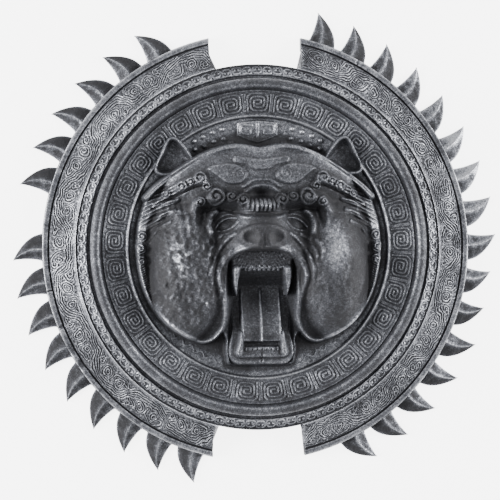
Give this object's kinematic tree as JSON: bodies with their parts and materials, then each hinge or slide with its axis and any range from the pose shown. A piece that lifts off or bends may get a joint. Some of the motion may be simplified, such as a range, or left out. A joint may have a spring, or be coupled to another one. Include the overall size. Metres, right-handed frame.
{
  "type": "buckler shield",
  "caption": "Round dished buckler with a roaring bear head in relief, fret bands, a notched engraved rim edged with curved claws, and a hand grip behind.",
  "frame": {"origin": "on the ground under the middle of the shield, which lies face up on the flat back of its rim", "axes": "+Z the way the bear's face looks, +Y towards the top of its head, +X to the right for someone who looks at the face"},
  "size_m": [0.478, 0.4618, 0.0911],
  "materials": {
    "shield_cast": "cast resin painted near black, with silver rubbed over all that stands high, satin, chipped and grimy in the hollows",
    "grip_wood": "dark oiled hardwood, worn smooth",
    "strap_steel": "dull blackened steel"
  },
  "bodies": {
    "root": {"shield": "shield_cast", "grip": "grip_wood", "grip_strap": "strap_steel", "grip_screw_right": "strap_steel", "grip_screw_left": "strap_steel"}
  },
  "joints": []
}
